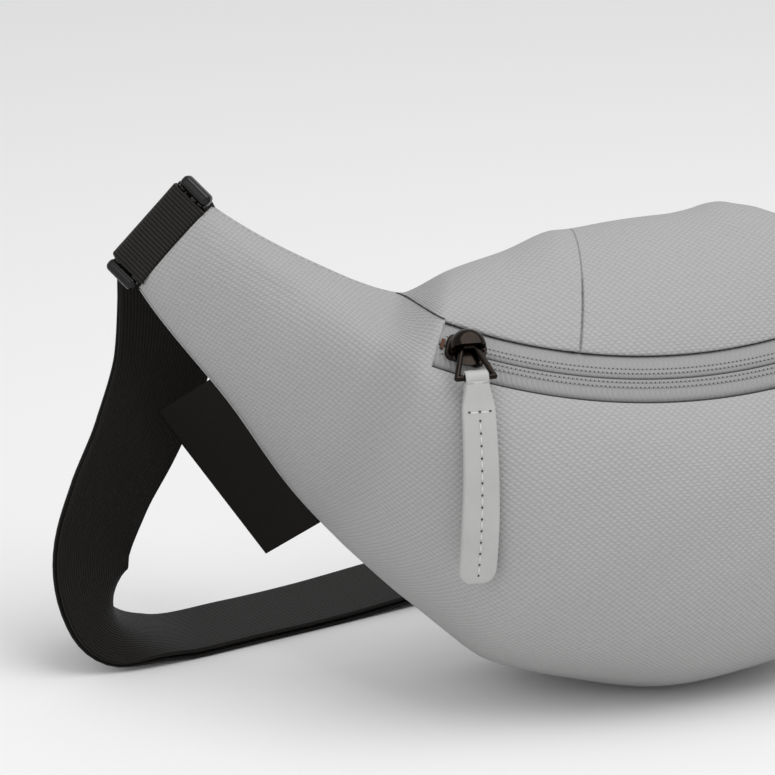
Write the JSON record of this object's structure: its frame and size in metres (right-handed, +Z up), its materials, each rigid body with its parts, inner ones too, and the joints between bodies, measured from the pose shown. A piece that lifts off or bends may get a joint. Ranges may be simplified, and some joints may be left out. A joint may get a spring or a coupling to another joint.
{
  "type": "hip bag",
  "caption": "Soft zipped hip bag with a domed pouch, tapering side wings, a leather zip pull, belt rings and a webbing belt with an adjuster and a side-release buckle.",
  "frame": {"origin": "middle of the footprint of the whole object, on the surface it stands on", "axes": "+Z up, -Y is the front with the zip, +X to the right seen from the front"},
  "size_m": [0.389, 0.1942, 0.1725],
  "materials": {
    "canvas": "light grey woven canvas, coated",
    "canvas_back": "grey canvas",
    "pad_mesh": "grey spacer mesh over foam",
    "lining": "dark grey taffeta",
    "zip_tape": "grey coated zip tape, matt",
    "zip_coil": "grey nylon coil",
    "zip_stop": "brown plated",
    "gunmetal": "dark bronze gunmetal, glossy",
    "leather": "light grey smooth leather",
    "thread": "pale grey thread",
    "webbing": "black ribbed nylon webbing",
    "tag": "black woven tag, plain",
    "hardware": "black moulded acetal"
  },
  "bodies": {
    "bag": {"front_panel": "canvas", "wing_left": "canvas", "wing_right": "canvas", "top_panel": "canvas", "back_panel": "canvas_back", "back_pad": "pad_mesh", "lining_front": "lining", "lining_top": "lining", "lining_back": "lining", "slip_pocket": "lining", "pocket_hem": "webbing", "zip_tape_upper": "zip_tape", "zip_tape_lower": "zip_tape", "zip_coil_upper": "zip_coil", "zip_coil_lower": "zip_coil", "zip_stop_left": "zip_stop", "zip_stop_right": "zip_stop", "side_tag": "tag", "anchor_left": "webbing", "anchor_right": "webbing", "belt_main": "webbing", "belt_return": "webbing", "short_outer": "webbing", "short_inner": "webbing", "buckle_socket": "hardware", "socket_loop": "webbing"},
    "slider": {"slider_body": "gunmetal"},
    "cap": {"slider_cap": "gunmetal"},
    "bail": {"bail": "gunmetal"},
    "tab": {"pull_tab": "leather", "pull_thread": "thread"},
    "ring_l": {"ring_left": "hardware", "belt_turn_left": "webbing"},
    "ring_r": {"ring_right": "hardware", "belt_turn_right": "webbing"},
    "adjuster": {"strap_adjuster": "hardware", "adjuster_loop": "webbing"},
    "plug": {"buckle_plug": "hardware", "plug_loop": "webbing"},
    "latch_b": {"latch_back": "hardware"},
    "latch_f": {"latch_front": "hardware"}
  },
  "joints": [
    {"name": "slider_travel", "type": "hinge", "parent": "bag", "child": "slider", "pos_m": [0, 0.04343, 0.26375], "axis": [0, -0.766, 0.6428], "range_deg": [0, 46.8], "deforming": ["pull_tab", "pull_thread"]},
    {"name": "cap_swivel", "type": "hinge", "parent": "slider", "child": "cap", "pos_m": [-0.07546, -0.06865, 0.13017], "axis": [0, -0.766, 0.6428], "range_deg": [-80, 0], "deforming": ["pull_tab", "pull_thread"]},
    {"name": "bail_tilt", "type": "hinge", "parent": "cap", "child": "bail", "pos_m": [-0.07546, -0.07195, 0.13293], "axis": [-0.9999, 0.0101, 0.012], "range_deg": [0, 38]},
    {"name": "tab_swing", "type": "hinge", "parent": "bail", "child": "tab", "pos_m": [-0.07564, -0.08029, 0.12488], "axis": [-0.9999, 0.0101, 0.012], "range_deg": [0, 70]},
    {"name": "ring_left_turn", "type": "hinge", "parent": "bag", "child": "ring_l", "pos_m": [-0.15159, 0.02046, 0.15036], "axis": [0.6163, -0.2273, 0.754], "range_deg": [-18, 18], "deforming": ["belt_main", "belt_return"]},
    {"name": "ring_right_turn", "type": "hinge", "parent": "bag", "child": "ring_r", "pos_m": [0.15159, 0.02046, 0.15036], "axis": [-0.6163, -0.2273, 0.754], "range_deg": [-18, 18], "deforming": ["short_outer", "short_inner"]},
    {"name": "adjuster_slide", "type": "slide", "parent": "bag", "child": "adjuster", "axis": [1, 0, 0], "range_m": [-0.01, 0.01], "deforming": ["belt_return"]},
    {"name": "plug_pull", "type": "slide", "parent": "bag", "child": "plug", "axis": [-0.9514, 0.3078, 0], "range_m": [0, 0.032], "deforming": ["belt_main", "latch_back", "latch_front"]},
    {"name": "latch_back_squeeze", "type": "hinge", "parent": "plug", "child": "latch_b", "pos_m": [0.09597, 0.06636, 0.0045], "axis": [0, 0, -1], "range_deg": [0, 11], "stiffness_Nm_per_rad": 0.02},
    {"name": "latch_front_squeeze", "type": "hinge", "parent": "plug", "child": "latch_f", "pos_m": [0.08858, 0.04353, 0.0045], "axis": [0, 0, 1], "range_deg": [0, 11], "stiffness_Nm_per_rad": 0.02}
  ],
  "couplings": [
    {"joint": "latch_front_squeeze", "follows": "latch_back_squeeze", "ratio": 1}
  ]
}
